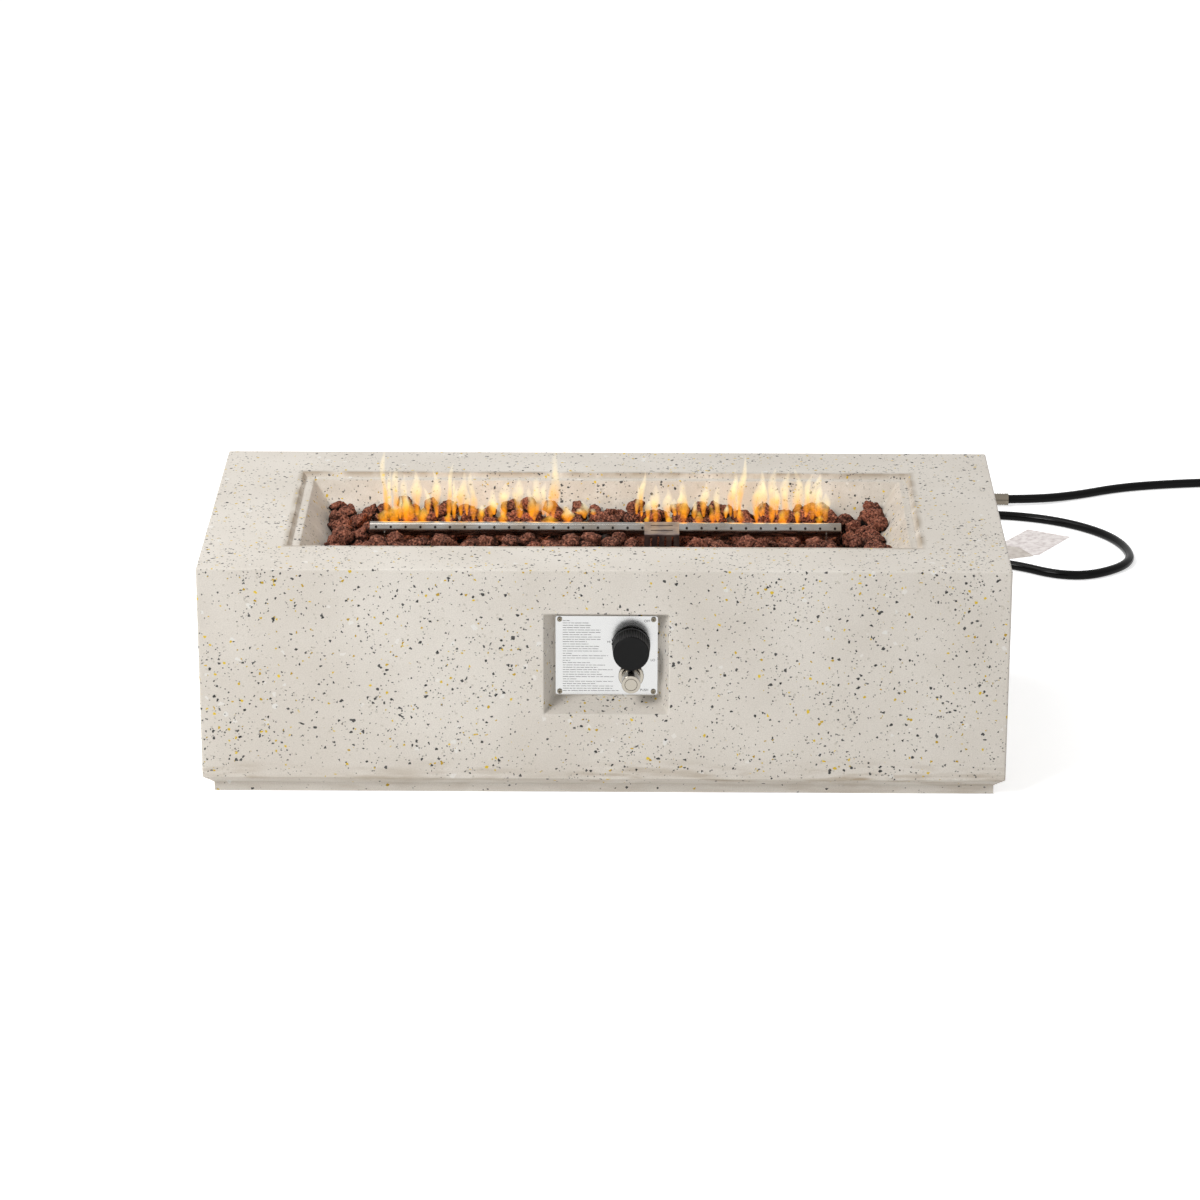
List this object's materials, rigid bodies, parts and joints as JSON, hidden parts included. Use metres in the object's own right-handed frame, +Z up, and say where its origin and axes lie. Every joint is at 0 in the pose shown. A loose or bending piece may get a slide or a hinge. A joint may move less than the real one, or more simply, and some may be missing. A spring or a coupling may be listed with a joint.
{
  "type": "gas fire pit table",
  "caption": "Low rectangular terrazzo concrete fire pit table with a straight gas burner in lava rock, a recessed control panel and a supply hose with regulator.",
  "frame": {"origin": "centre of the base on the ground, under the middle of the table", "axes": "+X along the table to the right as seen from the control panel, +Y away from the control panel towards the back, +Z up"},
  "size_m": [1.6865, 1.2989, 0.32],
  "materials": {
    "terrazzo": "honed cast terrazzo concrete, closed pores",
    "pad_rubber": "matt",
    "stainless": "fine brushed stainless",
    "zinc": "zinc-plated, dull",
    "brass": "turned brass",
    "plate_metal": "satin",
    "dark_screw": "dull nickel plate",
    "knob_black": "moulded black, satin",
    "chrome": "nickel chrome plate",
    "black_plastic": "moulded black",
    "ceramic": "unglazed white",
    "spring_steel": "drawn wire",
    "lava": "rough porous lava rock",
    "hose_rubber": "smooth black, slightly glossy",
    "wire_cover": "silicone sleeve",
    "copper": "drawn copper",
    "battery": "plain metal jacket",
    "regulator_paint": "cast zinc, grey paint",
    "paper": "blank white tag"
  },
  "bodies": {
    "table": {"concrete_body": "terrazzo", "foot_pads": "pad_rubber", "burner_tube": "stainless", "burner_end_caps": "stainless", "burner_inlet_pipe": "zinc", "burner_support_left": "stainless", "burner_support_right": "stainless", "burner_support_screws": "zinc", "floor_locknuts": "zinc", "air_mixer": "brass", "gas_orifice": "brass", "gas_tube": "copper", "gas_tube_nuts": "brass", "pilot_bracket": "stainless", "igniter_guard": "stainless", "guard_screws": "zinc", "electrode_insulator": "ceramic", "spark_electrode": "spring_steel", "igniter_wire": "wire_cover", "thermocouple": "copper", "thermocouple_lead": "copper", "control_plate": "plate_metal", "plate_screws": "dark_screw", "valve_body": "brass", "valve_screws": "zinc", "stem_spring": "spring_steel", "safety_magnet": "brass", "igniter_barrel": "chrome", "igniter_nut": "zinc", "igniter_battery": "battery", "igniter_module": "black_plastic", "button_spring": "spring_steel", "hose_grommet": "pad_rubber", "inner_hose": "hose_rubber", "inner_ferrule": "zinc", "lead_hose": "hose_rubber", "lead_ferrule": "zinc", "hose_union": "brass", "swivel_nut": "brass", "supply_ferrule": "zinc", "supply_hose": "hose_rubber", "supply_coil": "hose_rubber", "supply_tail": "hose_rubber", "regulator_ferrule": "zinc", "regulator_body": "regulator_paint", "regulator_cap": "black_plastic", "inlet_nipple": "brass", "hose_tag": "paper", "lava_rocks": "lava"},
    "plug": {"valve_plug": "brass"},
    "knob": {"valve_stem": "spring_steel", "knob": "knob_black"},
    "button": {"igniter_button": "chrome"},
    "coupling": {"coupling_nut": "black_plastic"}
  },
  "joints": [
    {"name": "valve_turn", "type": "hinge", "parent": "table", "child": "plug", "pos_m": [0.036, -0.2, 0.203], "axis": [0, -1, 0], "range_deg": [-213, 54]},
    {"name": "knob_push", "type": "slide", "parent": "plug", "child": "knob", "axis": [0, 1, 0], "range_m": [0, 0.003], "stiffness_N_per_m": 1500, "springref_m": -0.004, "deforming": ["stem_spring"]},
    {"name": "button_push", "type": "slide", "parent": "table", "child": "button", "axis": [0, 1, 0], "range_m": [0, 0.003], "stiffness_N_per_m": 1000, "springref_m": -0.004, "deforming": ["button_spring"]},
    {"name": "coupling_turn", "type": "hinge", "parent": "table", "child": "coupling", "pos_m": [1.122, 0.679, 0.02], "axis": [0, -1, 0], "continuous": true}
  ]
}
